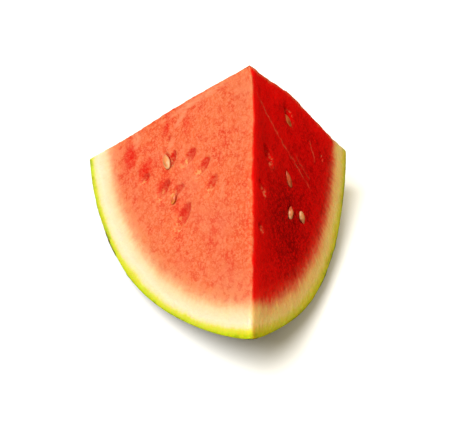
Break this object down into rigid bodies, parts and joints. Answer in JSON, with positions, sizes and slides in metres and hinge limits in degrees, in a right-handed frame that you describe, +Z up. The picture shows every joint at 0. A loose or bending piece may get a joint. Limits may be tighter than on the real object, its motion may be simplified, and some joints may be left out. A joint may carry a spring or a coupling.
{
  "type": "watermelon wedge",
  "caption": "Wedge of ripe watermelon cut to a tip by flat knife cuts, standing on its round rind, with pale seeds in the red flesh.",
  "frame": {"origin": "middle of the small flat spot on the rind that the wedge stands on", "axes": "+Z up from that spot towards the tip; -Y towards the long cut edge (the ridge) that faces the viewer; +X to the viewer's right"},
  "size_m": [0.1255, 0.1391, 0.1075],
  "materials": {
    "flesh_and_rind": "satin",
    "pale_seed": "satin",
    "green_seed": "satin",
    "brown_seed": "satin"
  },
  "bodies": {
    "root": {"watermelon_wedge": "flesh_and_rind", "seed_left_upper": "pale_seed", "seed_left_lower": "green_seed", "seed_right_upper": "brown_seed", "seed_right_middle": "pale_seed", "seed_right_lower": "pale_seed", "seed_right_outer": "pale_seed", "seed_back_upper": "pale_seed", "seed_back_middle": "pale_seed", "seed_back_lower": "pale_seed"}
  },
  "joints": []
}
